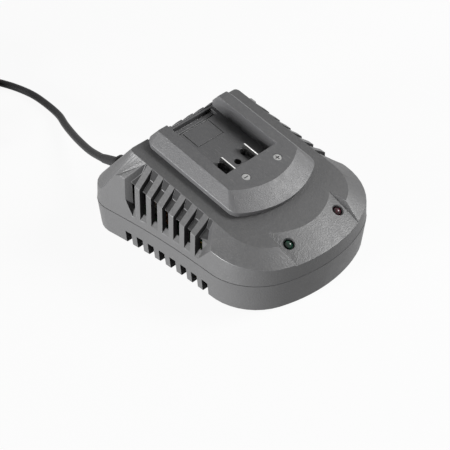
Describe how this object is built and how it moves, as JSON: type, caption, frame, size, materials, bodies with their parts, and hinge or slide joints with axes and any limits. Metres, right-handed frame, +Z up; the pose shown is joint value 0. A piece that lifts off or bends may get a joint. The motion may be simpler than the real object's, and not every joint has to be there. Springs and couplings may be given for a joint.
{
  "type": "power tool battery charger",
  "caption": "Bench charger for a slide-on tool battery: rounded finned case, sloping dock with rails and blade terminals, lamps and a mains lead.",
  "frame": {"origin": "on the surface under the middle of the case, without the mains lead", "axes": "+Z up, -Y towards the rounded front with the lamps, +Y towards the rear wall that the lead leaves, +X to the right seen from the front"},
  "size_m": [0.1595, 0.3993, 0.0762],
  "materials": {
    "upper_plastic": "moulded or plain",
    "lower_plastic": "moulded or plain",
    "dock_plastic": "moulded or plain",
    "cover_plastic": "moulded or plain",
    "blade_metal": "moulded or plain",
    "block_plastic": "moulded or plain",
    "disc_plastic": "moulded or plain",
    "green_lens": "moulded or plain",
    "red_lens": "moulded or plain",
    "sleeve_plastic": "moulded or plain",
    "board": "moulded or plain",
    "ferrite": "moulded or plain",
    "winding": "moulded or plain",
    "cap_sleeve": "moulded or plain",
    "sink_metal": "moulded or plain",
    "black_epoxy": "moulded or plain",
    "copper": "moulded or plain",
    "fuse_ceramic": "moulded or plain",
    "film_yellow": "moulded or plain",
    "nylon": "moulded or plain",
    "red_wire": "moulded or plain",
    "black_wire": "moulded or plain",
    "brown_wire": "moulded or plain",
    "foot_rubber": "moulded or plain",
    "screw_steel": "moulded or plain",
    "lead_rubber": "moulded or plain",
    "plug_plastic": "moulded or plain",
    "pin_metal": "moulded or plain"
  },
  "bodies": {
    "charger": {"upper_housing": "upper_plastic", "lower_housing": "lower_plastic", "dock": "dock_plastic", "service_cover": "cover_plastic", "blade_positive": "blade_metal", "blade_negative": "blade_metal", "terminal_block": "block_plastic", "disc_positive": "disc_plastic", "disc_negative": "disc_plastic", "lamp_green": "green_lens", "lamp_red": "red_lens", "lamp_sleeve_green": "sleeve_plastic", "lamp_sleeve_red": "sleeve_plastic", "circuit_board": "board", "transformer_core": "ferrite", "transformer_coil": "winding", "bulk_capacitor": "cap_sleeve", "output_capacitor": "cap_sleeve", "heat_sink": "sink_metal", "power_transistor": "black_epoxy", "line_choke": "copper", "rectifier": "black_epoxy", "fuse": "fuse_ceramic", "line_capacitor": "film_yellow", "mains_connector": "nylon", "wire_positive": "red_wire", "wire_negative": "black_wire", "mains_wires": "brown_wire", "pad_front_left": "foot_rubber", "pad_front_right": "foot_rubber", "pad_rear_left": "foot_rubber", "pad_rear_right": "foot_rubber", "screw_front_left": "screw_steel", "screw_front_right": "screw_steel", "screw_rear_left": "screw_steel", "screw_rear_right": "screw_steel", "strain_relief": "lead_rubber", "cord_tube": "lead_rubber", "cord_coil": "lead_rubber", "cord_tail": "lead_rubber", "plug_body": "plug_plastic", "plug_pin_left": "pin_metal", "plug_pin_right": "pin_metal"}
  },
  "joints": []
}
